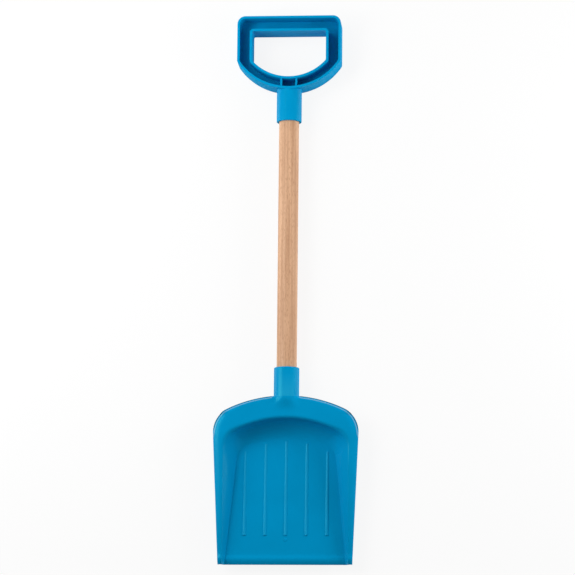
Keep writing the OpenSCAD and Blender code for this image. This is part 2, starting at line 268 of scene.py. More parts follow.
class ShovelSettings(bpy.types.PropertyGroup):
    """All the settings of the shovel"""

    stick: PointerProperty(type=StickSizes)
    grip: PointerProperty(type=GripSizes)
    scoop: PointerProperty(type=ScoopSizes)
    screw: PointerProperty(type=ScrewSizes)
    finish: PointerProperty(type=Finishes)
    stage: PointerProperty(type=StageSettings)


class Places:
    """Places along the stick and heights that several pieces share."""

    def __init__(self, shovel):
        stick, grip, scoop, screw = shovel.stick, shovel.grip, shovel.scoop, shovel.screw
        total = scoop.length + stick.scoop_socket + stick.shown + stick.grip_socket + grip.arc + grip.rise
        self.front = -total / 2
        self.rear = self.front + scoop.length
        self.scoop_mouth = self.rear + stick.scoop_socket
        self.grip_mouth = self.scoop_mouth + stick.shown
        self.grip_centre = self.grip_mouth + stick.grip_socket + grip.arc
        self.axis = grip.depth / 2
        self.socket_back = self.axis - stick.socket_diameter / 2
        self.screws = (self.scoop_mouth - screw.inset, self.grip_mouth + screw.inset)
        self.land = scoop.wall + scoop.dish_depth


def mix(a, b, t):
    """The value that lies this share of the way from a to b."""
    return a + (b - a) * t


def eased(t):
    """A smooth step from 0 to 1."""
    c = np.clip(t, 0, 1)
    return c * c * (3 - 2 * c)


def swelled(a, b, fillet):
    """The larger of two heights, with a fillet where they meet."""
    near = np.maximum(fillet - np.abs(a - b), 0) / fillet
    return np.maximum(a, b) + near * near * fillet / 4


def bent(a, corner, b, count):
    """Places along a rounded corner from a to b."""
    a, corner, b = np.asarray(a), np.asarray(corner), np.asarray(b)
    return [mix(mix(a, corner, t), mix(corner, b, t), t) for t in np.linspace(0, 1, count)]


@contextmanager
def opened(mesh):
    """The mesh opened for editing; it is written back at the end."""
    work = bmesh.new()
    work.from_mesh(mesh)
    yield work
    work.to_mesh(mesh)
    work.free()


def placed_object(name, data):
    """An object in the scene that shows the data."""
    made = bpy.data.objects.new(name, data)
    bpy.context.scene.collection.objects.link(made)
    return made


def solid(name, points, faces):
    """A closed mesh object whose faces point outwards."""
    mesh = bpy.data.meshes.new(name)
    mesh.from_pydata([tuple(p) for p in points], [], [tuple(f) for f in faces])
    with opened(mesh) as work:
        bmesh.ops.remove_doubles(work, verts=work.verts, dist=SAME_POINT)
        bmesh.ops.recalc_face_normals(work, faces=work.faces)
    return placed_object(name, mesh)


def turned(name, profile, place, count=ROUND):
    """A solid of revolution: profile holds radius and height, place gives the point at them and an angle."""
    points, rings = [], []
    for radius, height in profile:
        angles = [0] if radius == 0 else [2 * math.pi * k / count for k in range(count)]
        rings.append([len(points) + k for k in range(len(angles))])
        points += [place(radius, height, a) for a in angles]
    faces = []
    for low, high in zip(rings, rings[1:]):
        for k in range(count):
            face = [low[j % len(low)] for j in (k, k + 1)] + [high[j % len(high)] for j in (k + 1, k)]
            faces.append(list(dict.fromkeys(face)))
    return solid(name, points, [f for f in faces if len(f) > 2])


def combine(piece, tool, operation):
    """Joins the tool to the piece or cuts it out of it; the tool is used up."""
    step = piece.modifiers.new("combine", "BOOLEAN")
    step.operation = operation
    step.solver = "EXACT"
    step.object = tool
    settle(piece)
    bpy.data.objects.remove(tool)


def settle(piece):
    """Makes what the modifiers give the piece's own mesh."""
    graph = bpy.context.evaluated_depsgraph_get()
    mesh = bpy.data.meshes.new_from_object(piece.evaluated_get(graph))
    piece.modifiers.clear()
    old = piece.data
    piece.data = mesh
    bpy.data.meshes.remove(old)
    mesh.name = piece.name


def finish_piece(piece, material, node, sharp=38, worn=True):
    """Cleans and shades a piece, marks its edges and hangs it on the shovel's body; sharp is in degrees."""
    mesh = piece.data
    with opened(mesh) as work:
        bmesh.ops.remove_doubles(work, verts=work.verts, dist=SLIVER)
        bmesh.ops.dissolve_degenerate(work, edges=work.edges, dist=SLIVER)
    mesh.materials.clear()
    mesh.materials.append(material)
    mesh.shade_smooth()
    mesh.set_sharp_from_angle(angle=math.radians(sharp))
    if worn:
        mark_edges(mesh)
    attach(piece, BODY)
    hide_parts(node)


def point_rows(mesh, key):
    """One row of three values for each point of the mesh."""
    rows = np.zeros(len(mesh.vertices) * 3)
    mesh.vertices.foreach_get(key, rows)
    return rows.reshape(-1, 3)


def keep_mark(mesh, name, values):
    """Keeps one value on each point of the mesh, for its material to read."""
    mesh.attributes.new(name, "FLOAT", "POINT").data.foreach_set("value", values.astype(np.float32))


def mark_edges(mesh):
    """Marks how far each point stands out as an edge, which the finish wears."""
    place, normal = point_rows(mesh, "co"), point_rows(mesh, "normal")
    ends = np.zeros(len(mesh.edges) * 2, int)
    mesh.edges.foreach_get("vertices", ends)
    ends = ends.reshape(-1, 2)
    span = place[ends[:, 1]] - place[ends[:, 0]]
    far = np.maximum(np.linalg.norm(span, axis=1, keepdims=True), SAME_POINT)
    total, met = np.zeros(len(place)), np.zeros(len(place))
    for a, sign in ((0, 1), (1, -1)):
        fall = -np.sum(normal[ends[:, a]] * span / far, axis=1) * sign
        np.add.at(total, ends[:, a], fall)
        np.add.at(met, ends[:, a], 1)
    keep_mark(mesh, "edge", np.clip(total / np.maximum(met, 1) * EDGE_GAIN, 0, 1))


def mark_crown_wear_and_sheen(mesh, scoop, front):
    """Marks the crown of each rib as an edge that the sand wears, which the finish also lightens as a painted
    highlight.
    """
    place = point_rows(mesh, "co")
    x = place[:, 0] / scoop.rib_pitch + (scoop.rib_count - 1) / 2
    away = np.abs(x - np.round(x)) * scoop.rib_pitch
    crown = np.clip(CROWN_WEAR_AND_SHEEN * (1 - 2 * away / scoop.rib_width), 0, 1)
    keep_mark(mesh, "edge", crown * (place[:, 1] > front))


def mark_rim_shading(mesh, form):
    """Marks how near each point is to the scoop's rear edge, for the painted highlight line and the painted
    shade that the finish puts there.
    """
    flat = point_rows(mesh, "co")[:, :2] - (0, form.places.front)
    start, span = form.upper[0][:-1], np.diff(form.upper[0], axis=0)
    away = np.full(len(flat), 1.0)
    for a, s in zip(start, span):
        t = np.clip(((flat - a) @ s) / (s @ s), 0, 1)
        away = np.minimum(away, np.linalg.norm(flat - a - t[:, None] * s, axis=1))
    near = np.clip(1 - away / form.RIM_MARK, 0, 1)
    rear = eased((flat[:, 1] - form.RIM_START) / form.RIM_EASE)
    clear = eased((np.abs(flat[:, 0]) - form.stick.socket_diameter / 2) / form.FILLET)
    outside = flat[:, 1] < form.scoop.length + form.FILLET
    keep_mark(mesh, "rim", near * rear * clear * outside)


def along_stick(axis):
    """Places a turned shape on the stick's axis."""
    return lambda r, y, a: (r * math.cos(a), y, axis + r * math.sin(a))


def upright(y):
    """Places a turned shape upright on the middle line."""
    return lambda r, z, a: (r * math.cos(a), y + r * math.sin(a), z)


def socket_tube(stick, places, mouth, end):
    """Closed tube with a rounded mouth."""
    way = 1 if end > mouth else -1
    outer, round_ = stick.socket_diameter / 2, stick.mouth_round
    rim = bent((outer - round_, 0), (outer, 0), (outer, round_), count=7)
    profile = [(0, mouth)] + [(r, mouth + way * h) for r, h in rim] + [(outer, end), (0, end)]
    return turned("socket", profile, along_stick(places.axis))


def socket_bore(stick, places, mouth, seat, way):
    """Hole for the stick, with a softened edge at the mouth."""
    bore, round_ = stick.diameter / 2 + stick.socket_gap, stick.mouth_inner
    rim = bent((bore, round_), (bore, 0), (bore + round_, 0), count=5)
    end, past = mouth + way * (seat + stick.end_gap), mouth - way * OVERRUN
    profile = [(0, end), (bore, end)] + [(r, mouth + way * h) for r, h in rim]
    return turned("bore", profile + [(bore + round_, past), (0, past)], along_stick(places.axis))


def screw_hole(screw, places, y):
    """Countersunk hole at the back of a socket."""
    head, shank = screw.head / 2 + screw.gap, screw.shank / 2 + screw.gap
    seat = places.socket_back + screw.sink
    start, neck, end = seat - OVERRUN, seat + head - shank, seat + screw.length
    profile = [(0, start), (head, start), (head, seat), (shank, neck), (shank, end), (0, end)]
    return turned("hole", profile, upright(y), SMALL_ROUND)


class ScoopForm:
    """Upper and under faces of the scoop between its plan curves; distances run from its front edge."""

    # Points along a side, round a corner and along half the rear, where they crowd toward the middle
    SIDE, CORNER, REAR, REAR_CROWD = 26, 14, 34, 1.6

    # Points before and after a corner over which the straight wall turns into the rounded cove
    EASE_IN, EASE_OUT = 5, 6

    # Distances of the first points from the front edge, and the rounding of that edge
    LIP = np.array((0, 0.12, 0.25, 0.45, 0.8, 1.3, 2, 3, 4, 5, 5.8, 6.5, 7.2, 8, 9, 10, 11, 12)) * MM
    EDGE_ROUND = 0.45 * MM

    # Rows across the flange and the wall, and steps across the floor
    FLANGE_ROWS, WALL_ROWS, RUNGS = 16, 13, 40

    # Share of the rear flange that stays flat, and the width of its rounded edge
    ROLL_PLACE, RIM_ROUND = 0.86, 1 * MM

    # Powers: above 1, the side wall is steeper at its foot, and the rim falls faster near the front
    WALL_BEND, RIM_FALL = 1.45, 1.35

    # Usual height of a wall, and the roundings of the bends in the upper and the under face
    WALL_HEIGHT, UPPER_SOFT, UNDER_SOFT = 15 * MM, 0.5 * MM, 1.6 * MM

    # What the dish's top edge is softer by along its rear and at its corners, and the reach of a corner
    REAR_SOFT, CORNER_SOFT, CORNER_REACH = 3.2 * MM, 3 * MM, 30 * MM

    # Socket's nose on the land: fillets at its full and its faded end, and the least, which can't be 0
    FILLET, NOSE_FILLET, LEAST_FILLET = 2.4 * MM, 7 * MM, 1e-9

    # How much wider the nose gets as it fades, and the power of its fading
    NOSE_SPREAD, NOSE_FALL = 1.5, 1.6

    # The nose is full this far in from the rear edge, and the tube of the socket ends a little behind that
    TUBE_END = 2.2 * MM
    TUBE_REACH = 0.8 * TUBE_END

    # Painted highlight and painted shade along the rear edge: their reach, their start behind the front edge,
    # and the length they come in over
    RIM_MARK, RIM_START, RIM_EASE = 4 * MM, 134 * MM, 26 * MM

    def __init__(self, scoop, stick, places):
        self.scoop, self.stick, self.places = scoop, stick, places
        s = scoop
        self.floor_length = s.length - s.land - s.cove
        self.rim_front = s.wall + s.floor_rise + s.front_wall
        floor_side = self.floor_length - s.floor_corner
        slant = math.atan2(s.dish_depth, (s.dish_width - s.floor_rear) / 2)
        grow = s.wall * math.tan(slant / 2)
        spread = (s.width - s.front_width) / 2 / s.width_place
        narrow = (s.floor_rear - s.floor_front) / 2 / floor_side
        front, dish, floor = s.front_width / 2, s.dish_width / 2, s.floor_front / 2
        dish_length, wall, edge = s.length - s.land, s.wall, s.edge
        self.upper = [
            self.plan(front, spread, s.length, s.rear_arc, s.shoulder),
            self.plan(dish, 0, dish_length, s.dish_arc, s.dish_corner),
            self.plan(floor, narrow, self.floor_length, s.floor_arc, s.floor_corner),
        ]
        self.under = [
            self.plan(front - edge, spread, s.length - edge, s.rear_arc - edge, s.shoulder - edge),
            self.plan(dish + grow, 0, dish_length + wall, s.dish_arc + wall, s.dish_corner + wall),
            self.plan(floor + grow, narrow, self.floor_length, s.floor_arc, s.floor_corner),
        ]
        self.count = len(self.upper[0])
        k = np.arange(self.count)
        k = np.minimum(k, self.count - 1 - k)
        side_count = len(self.LIP) + self.SIDE - 1
        self.roundness = eased((k - side_count + self.EASE_IN) / (self.EASE_IN + self.CORNER + self.EASE_OUT))
        self.flange = np.linalg.norm(self.upper[0] - self.upper[1], axis=1)

    def plan(self, half, slope, length_, rear, corner):
        """Plan curve from the right end of the front edge round the rear to the left end."""
        big = length_ - rear
        slant = math.hypot(1, slope)
        start = half + slope * big - corner * slant
        lift = (-start * slope + math.sqrt(((rear - corner) * slant) ** 2 - start**2)) / slant**2
        centre = np.array((start + slope * lift, big + lift))
        first, last = math.atan2(-slope, 1), math.atan2(lift, centre[0])
        side = centre[1] + corner * math.sin(first)
        v = np.concatenate((self.LIP, mix(self.LIP[-1], side, np.arange(1, self.SIDE) / self.SIDE)))
        a = mix(first, last, np.arange(self.CORNER) / self.CORNER)
        b = mix(last, math.pi / 2, 1 - (1 - np.linspace(0, 1, self.REAR + 1)) ** self.REAR_CROWD)
        rear_points = np.stack((rear * np.cos(b), big + rear * np.sin(b)), 1)
        rear_points[-1] = (0, length_)
        half_curve = np.concatenate(
            (
                np.stack((half + slope * v, v), 1),
                centre + corner * np.stack((np.cos(a), np.sin(a)), 1),
                rear_points,
            )
        )
        return np.concatenate((half_curve, half_curve[-2::-1] * (-1, 1)))

    def rim_z(self, v):
        """Height of the rim at a distance from the front edge."""
        fall = np.maximum(0, 1 - v / self.scoop.width_place) ** self.RIM_FALL
        return self.places.land - (self.places.land - self.rim_front) * fall

    def floor_z(self, v):
        """Height of the floor there."""
        return self.scoop.wall + self.scoop.floor_rise * (1 - v / self.floor_length)

    def lip_z(self, v):
        """What the bevel of the front edge and the ridge behind it add there."""
        s = self.scoop
        bevel = mix(s.lip_edge - s.wall, s.ridge, np.sin(np.pi / 2 * np.clip(v / s.lip, 0, 1)))
        return np.where(v < s.lip, bevel, s.ridge * (1 - eased((v - s.lip) / s.ridge_slope)))

    def front_round(self, v):
        """Softening of both edges of the front lip."""
        r = self.EDGE_ROUND
        back = np.clip(1 - v / r, 0, 1)
        return r * (1 - np.sqrt(1 - back * back))

    def nosed(self, x, v, z):
        """Height of the land with the front of the socket on it, which fades into the land."""
        radius = self.stick.socket_diameter / 2 - NOSE_INSET
        low = self.places.land - self.places.axis
        half = math.sqrt(radius * radius - low * low)
        left = (v - self.scoop.length + self.scoop.fade) / (self.scoop.fade - self.TUBE_END)
        near = eased(left)
        x = np.abs(x) / mix(self.NOSE_SPREAD, 1, near)
        inside = np.sqrt(np.maximum(radius * radius - x * x, low * low)) - low
        full = near**self.NOSE_FALL
        swell = full * np.where(x < half, inside, half - x)
        fillet = full * mix(self.NOSE_FILLET, self.FILLET, near) + self.LEAST_FILLET
        return np.where(left > 0, swelled(z, self.places.land + swell, fillet), z)

    def placed(self, x, v, z, upper):
        """Points of a face in the shovel's frame, with what the lip and the socket add."""
        if upper:
            z = z + self.lip_z(v) - self.front_round(v)
            z = self.nosed(x, v, z)
        else:
            z = z - self.scoop.wall + self.front_round(v)
        return np.stack((x, v + self.places.front, z), 1)

    def flange_row(self, upper, share):
        """Row on the flange: share 0 is at the dish, 1 at the outline."""
        outline, dish, _ = self.upper if upper else self.under
        share = np.broadcast_to(share, self.count)
        p = mix(dish, outline, share[:, None])
        start = self.ROLL_PLACE * self.roundness
        t = np.maximum(0, share - start) / (1 - start)
        full = (self.scoop.width - self.scoop.dish_width) / 2
        side = self.scoop.side_roll * np.minimum(1, self.flange / full)
        roll = mix(side, self.scoop.rear_roll, self.roundness)
        return self.placed(p[:, 0], p[:, 1], self.rim_z(p[:, 1]) - roll * t * t, upper)

    def wall_row(self, upper, share):
        """Row on the wall: share 0 is at the top of the dish, 1 at the floor."""
        _, dish, floor = self.upper if upper else self.under
        t, q = np.broadcast_to(share, self.count), self.roundness
        p = mix(dish, floor, mix(1 - (1 - t) ** self.WALL_BEND, 1 - np.cos(np.pi / 2 * t), q)[:, None])
        top, bottom = self.rim_z(dish[:, 1]), self.floor_z(floor[:, 1])
        return self.placed(p[:, 0], p[:, 1], mix(top, bottom, mix(t, np.sin(np.pi / 2 * t), q)), upper)

    def floor_row(self, upper, inset):
        """Row on the floor, this far in from the foot of the wall."""
        _, dish, floor = self.upper if upper else self.under
        inward = (floor - dish) / np.linalg.norm(floor - dish, axis=1, keepdims=True)
        p = floor + inset * inward
        return self.placed(p[:, 0], p[:, 1], self.floor_z(p[:, 1]), upper)

    def dish_soft(self, soft):
        """Rounding of the dish's top edge, which is softer at its rear corners."""
        dish = self.upper[1]
        corner = dish[len(self.LIP) + self.SIDE - 1 + self.CORNER // 2]
        away = np.hypot(np.abs(dish[:, 0]) - corner[0], dish[:, 1] - corner[1])
        return soft + self.REAR_SOFT * self.roundness + self.CORNER_SOFT * eased(1 - away / self.CORNER_REACH)

    def rows(self, upper, soft):
        """Rows of one face from the middle of the rim's edge to the floor."""
        top, foot = self.flange_row(upper, 1), self.flange_row(not upper, 1)
        near = self.RIM_ROUND / self.flange
        _, dish, floor = self.upper if upper else self.under
        tall = np.hypot(np.linalg.norm(dish - floor, axis=1), self.WALL_HEIGHT)
        rim_soft = self.dish_soft(soft) if upper else soft
        rim_part, part, edge = rim_soft / tall, soft / tall, rim_soft / self.flange
        flange = [mix(1 - near, edge, t) for t in np.linspace(0, 1, self.FLANGE_ROWS)]
        wall = [mix(rim_part, 1 - part, t) for t in np.linspace(0, 1, self.WALL_ROWS)]
        crest, root = self.flange_row(upper, 0), self.wall_row(upper, 1)
        rows = bent(mix(top, foot, 0.5), top, self.flange_row(upper, flange[0]), count=6)
        rows += [self.flange_row(upper, share) for share in flange[1:-1]]
        rows += bent(self.flange_row(upper, edge), crest, self.wall_row(upper, rim_part), count=9)
        rows += [self.wall_row(upper, share) for share in wall[1:-1]]
        return rows + bent(self.wall_row(upper, 1 - part), root, self.floor_row(upper, soft), count=6)

    def shell(self):
        """The closed shell."""
        rungs, middle = self.RUNGS, (self.count - 1) // 2
        points, faces, fronts = [], [], []
        shared = None
        for upper, soft in ((True, self.UPPER_SOFT), (False, self.UNDER_SOFT)):
            rows, index = self.rows(upper, soft), []
            for k, row in enumerate(rows):
                if k == 0 and shared is not None:
                    index.append(shared)
                    continue
                index.append(np.arange(self.count) + len(points))
                points += list(row)
            shared = index[0]
            for a, b in zip(index, index[1:]):
                faces += [(a[i], a[i + 1], b[i + 1], b[i]) for i in range(self.count - 1)]
            ladder = []
            for i in range(middle):
                right, left = rows[-1][i], rows[-1][self.count - 1 - i]
                x = mix(right[0], left[0], np.arange(1, rungs) / rungs)
                v = np.full(rungs - 1, right[1] - self.places.front)
                inner = self.placed(x, v, self.floor_z(v), upper)
                numbers = list(range(len(points), len(points) + rungs - 1))
                points += list(inner)
                ladder.append([index[-1][i]] + numbers + [index[-1][self.count - 1 - i]])
            for a, b in zip(ladder, ladder[1:]):
                faces += [(a[k], a[k + 1], b[k + 1], b[k]) for k in range(rungs)]
            faces += [(ladder[-1][k], ladder[-1][k + 1], index[-1][middle]) for k in range(rungs)]
            fronts.append([r[0] for r in index] + ladder[0][1:-1] + [r[-1] for r in reversed(index)])
        for k in range(len(fronts[0]) - 1):
            a, b, c, d = fronts[0][k], fronts[0][k + 1], fronts[1][k + 1], fronts[1][k]
            faces.append(tuple(dict.fromkeys((a, b, c, d))))
        return solid("scoop", points, faces)


def keel(stick, scoop, places, form):
    """Lower half of the scoop's socket, from the rear edge to the rear wall of the dish."""
    radius = stick.socket_diameter / 2 - KEEL_INSET
    start, end = places.rear + KEEL_START, places.front + form.floor_length
    profile = [(0, start), (radius, start), (radius, end), (0, end)]
    piece = turned("keel", profile, along_stick(places.axis))
    with opened(piece.data) as work:
        cut = bmesh.ops.bisect_plane(
            work,
            geom=work.verts[:] + work.edges[:] + work.faces[:],
            plane_co=(0, 0, places.land - scoop.wall / 2),
            plane_no=(0, 0, 1),
            clear_outer=True,
        )
        edges = [e for e in cut["geom_cut"] if isinstance(e, bmesh.types.BMEdge)]
        bmesh.ops.contextual_create(work, geom=edges)
        bmesh.ops.recalc_face_normals(work, faces=work.faces)
    hollow = scoop.dish_depth + scoop.wall / 2
    wide = stick.socket_diameter
    cove = turned(
        "cove",
        [(0, -wide), (hollow, -wide), (hollow, wide), (0, wide)],
        lambda r, x, a: (x, end + r * math.cos(a), places.land + r * math.sin(a)),
        COVE_ROUND,
    )
    combine(piece, cove, "DIFFERENCE")
    return piece


def d_curve(width, rise, arc, corner, knee_round):
    """D-shaped outline round the centre of its arc, straight edge up, as a closed ring of points."""
    half, knee = width / 2, math.sqrt(arc * arc - width * width / 4)
    turn = math.asin(knee / arc)
    bend = knee_round / arc
    foot = arc * np.array((math.cos(-turn - bend), math.sin(-turn - bend)))
    low = knee_round - knee
    points = [(mix(0, half - corner, t), rise) for t in np.arange(EDGE_STEPS) / EDGE_STEPS]
    for a in mix(math.pi / 2, 0, np.arange(CORNER_STEPS) / CORNER_STEPS):
        points.append((half - corner + corner * math.cos(a), rise - corner + corner * math.sin(a)))
    points += [(half, mix(rise - corner, low, t)) for t in np.arange(EDGE_STEPS) / EDGE_STEPS]
    points += bent((half, low), (half, -knee), foot, count=7)[:-1]
    for a in mix(-turn - bend, -math.pi / 2, np.arange(ARC_STEPS) / ARC_STEPS):
        points.append((arc * math.cos(a), arc * math.sin(a)))
    points.append((0, -arc))
    points = np.array(points)
    return np.concatenate((points, points[-2:0:-1] * (-1, 1)))


def grip_ring(grip, centre):
    """The grip's ring: two walls joined by a web, with rounded rims."""

    def ring(shrink):
        rise, arc, corner = grip.rise - shrink, grip.arc - shrink, grip.corner - shrink
        return d_curve(grip.width - 2 * shrink, rise, arc, corner, grip.knee_round)

    def opening(grow):
        rise, arc, corner = grow - grip.opening_drop, grip.opening_arc + grow, grip.opening_corner + grow
        return d_curve(grip.opening + 2 * grow, rise, arc, corner, grip.knee_round)

    wall, high = grip.wall, grip.depth
    front, back = high - grip.channel, high - grip.channel - grip.web
    rim, root = grip.rim_round, grip.root_round
    # Corners of the section: curve, distance from it, height, rounding, and the ways to both neighbours
    corners = (
        (ring, 0, 0, rim, (1, 0), (0, 1)),
        (ring, 0, high, rim, (0, -1), (1, 0)),
        (ring, wall, high, rim, (-1, 0), (0, -1)),
        (ring, wall, front, root, (0, 1), (1, 0)),
        (opening, wall, front, root, (1, 0), (0, 1)),
        (opening, wall, high, rim, (0, -1), (-1, 0)),
        (opening, 0, high, rim, (1, 0), (0, -1)),
        (opening, 0, 0, rim, (0, 1), (1, 0)),
        (opening, wall, 0, rim, (-1, 0), (0, 1)),
        (opening, wall, back, root, (0, -1), (1, 0)),
        (ring, wall, back, root, (1, 0), (0, -1)),
        (ring, wall, 0, rim, (0, 1), (-1, 0)),
    )
    loops = []
    for curve, away, z, soft, before, after in corners:
        corner = np.array((away, z))
        ends = [corner + soft * np.array(way) for way in (before, after)]
        for offset, height in bent(ends[0], corner, ends[1], count=6):
            flat = curve(offset)
            loops.append(np.column_stack((flat[:, 0], flat[:, 1] + centre, np.full(len(flat), height))))
    n = len(loops[0])
    faces = []
    for j in range(len(loops)):
        a, b = j * n, (j + 1) % len(loops) * n
        faces += [(a + i, a + (i + 1) % n, b + (i + 1) % n, b + i) for i in range(n)]
    return solid("hand_grip", np.concatenate(loops), faces)


def grip_rib(grip, x, centre):
    """Thin rib across the channel, with a rounded top, sunk into both walls."""
    half, soft = grip.rib / 2, grip.rib_round
    low, high = grip.depth - grip.channel - grip.web / 2, grip.depth - grip.rib_drop
    top = bent((half, high - soft), (half, high), (half - soft, high), count=5)
    section = [(-half, low), (half, low)] + [tuple(p) for p in top] + [(-p[0], p[1]) for p in reversed(top)]
    ends = (grip.arc - grip.wall / 2, grip.opening_arc + grip.wall / 2)
    n = len(section)
    points = [(x + a, centre - math.sqrt(r * r - x * x), z) for r in ends for a, z in section]
    sides = [(k, (k + 1) % n, (k + 1) % n + n, k + n) for k in range(n)]
    return solid("rib", points, [tuple(range(n)), tuple(range(n, 2 * n))] + sides)


def gate_mark(scoop, form, places):
    """Low round mark that the moulding leaves on the floor."""
    floor, tilt = float(form.floor_z(scoop.gate_place)), scoop.floor_rise / form.floor_length
    radius, high, root = scoop.gate_radius, scoop.gate_height, -scoop.wall / 3
    rim = bent((radius, 0), (radius, high), (radius / 2, high), count=6)
    profile = [(0, root), (radius, root)] + [tuple(p) for p in rim] + [(0, high * GATE_DISH)]
    y = places.front + scoop.gate_place

    def place(r, z, a):
        along = r * math.sin(a)
        return (r * math.cos(a), y + along, floor + z - along * tilt)

    return turned("gate", profile, place, GATE_ROUND)


class Sheet:
    """Short way to lay out the nodes of one tree; where a node feeds an input, its first output is meant."""

    LINKED = (bpy.types.Node, bpy.types.NodeSocket)

    def __init__(self, tree):
        self.nodes, self.links = tree.nodes, tree.links

    def put(self, target, value):
        """Feeds one input: nodes and sockets, also a list of them, are linked, and plain values written."""
        for item in value if isinstance(value, list) else [value]:
            if isinstance(item, self.LINKED):
                self.links.new(item.outputs[0] if isinstance(item, bpy.types.Node) else item, target)
            else:
                target.default_value = item

    def node(self, kind, settings=None, **inputs):
        """A node; in the names of its inputs, an underscore stands for a space."""
        made = self.nodes.new(kind)
        for key, value in (settings or {}).items():
            setattr(made, key, value)
        for key, value in inputs.items():
            self.put(made.inputs[key.replace("_", " ")], value)
        return made

    def row(self, made, *items):
        """Feeds a node's inputs in their order."""
        for target, item in zip(made.inputs, items):
            self.put(target, item)
        return made

    def math(self, operation, *items):
        """A sum of this kind."""
        return self.row(self.node("ShaderNodeMath", {"operation": operation}), *items)

    def times(self, a, b):
        return self.math("MULTIPLY", a, b)

    def vector(self, *items):
        return self.row(self.node("ShaderNodeCombineXYZ"), *items)

    def blend(self, factor, a, b):
        """Colour between a and b."""
        made = self.node("ShaderNodeMix", {"data_type": "RGBA"})
        sockets = {s.name: s for s in made.inputs if s.enabled}
        self.put(sockets["Factor"], factor)
        for key, value in (("A", a), ("B", b)):
            self.put(sockets[key], value if isinstance(value, self.LINKED) else (*value, 1))
        return next(s for s in made.outputs if s.enabled)

    def tint(self, tone, mask, colour_, share):
        """The tone turned toward a colour where the mask is, by at most this share."""
        return self.blend(self.times(mask, share), tone, colour_)

    def ranged(self, value, span, low=0.0, high=1.0):
        """A value moved from its span to the range from low to high."""
        made = self.node("ShaderNodeMapRange", {"clamp": True})
        return self.row(made, value, *span, low, high)

    def noise(self, place, scale, detail, roughness=0.5, draw=None, turn=0.0):
        """Noise at a place; a draw under 1 draws it out along the shovel, after a turn about the upright."""
        if draw is not None:
            place = self.node("ShaderNodeMapping", Vector=place, Rotation=(0, 0, turn), Scale=(1, draw, 1))
        return self.node("ShaderNodeTexNoise", Vector=place, Scale=scale, Detail=detail, Roughness=roughness)

    def mark(self, name):
        """The value that a mesh keeps on its points under that name."""
        return self.node("ShaderNodeAttribute", {"attribute_name": name}).outputs["Fac"]

    def bump(self, height, strength, distance):
        return self.node("ShaderNodeBump", Height=height, Strength=strength, Distance=distance)

    def coat(self, **inputs):
        """Gives a material its skin."""
        skin = self.node("ShaderNodeBsdfPrincipled", **inputs)
        self.node("ShaderNodeOutputMaterial", Surface=skin)


def open_tree(name, values):
    """Starts a geometry tree with a named input for each value, which a modifier sets by its identifier."""
    tree = bpy.data.node_groups.new(name, "GeometryNodeTree")
    tree.interface.new_socket("Geometry", in_out="OUTPUT", socket_type="NodeSocketGeometry")
    settings = {}
    for key, value in values.items():
        kind = "NodeSocketInt" if isinstance(value, int) else "NodeSocketFloat"
        socket = tree.interface.new_socket(key, in_out="INPUT", socket_type=kind)
        socket.default_value = value
        settings[socket.identifier] = value
    sheet = Sheet(tree)
    return tree, sheet, sheet.node("NodeGroupInput").outputs, settings


def close_tree(sheet, material, **spread):
    """Ends a geometry tree: instances on points, made real and painted."""
    placed = sheet.node("GeometryNodeInstanceOnPoints", **spread)
    real = sheet.node("GeometryNodeRealizeInstances", Geometry=placed)
    paint = sheet.node("GeometryNodeSetMaterial", Geometry=real, Material=material)
    sheet.node("NodeGroupOutput", Geometry=paint)


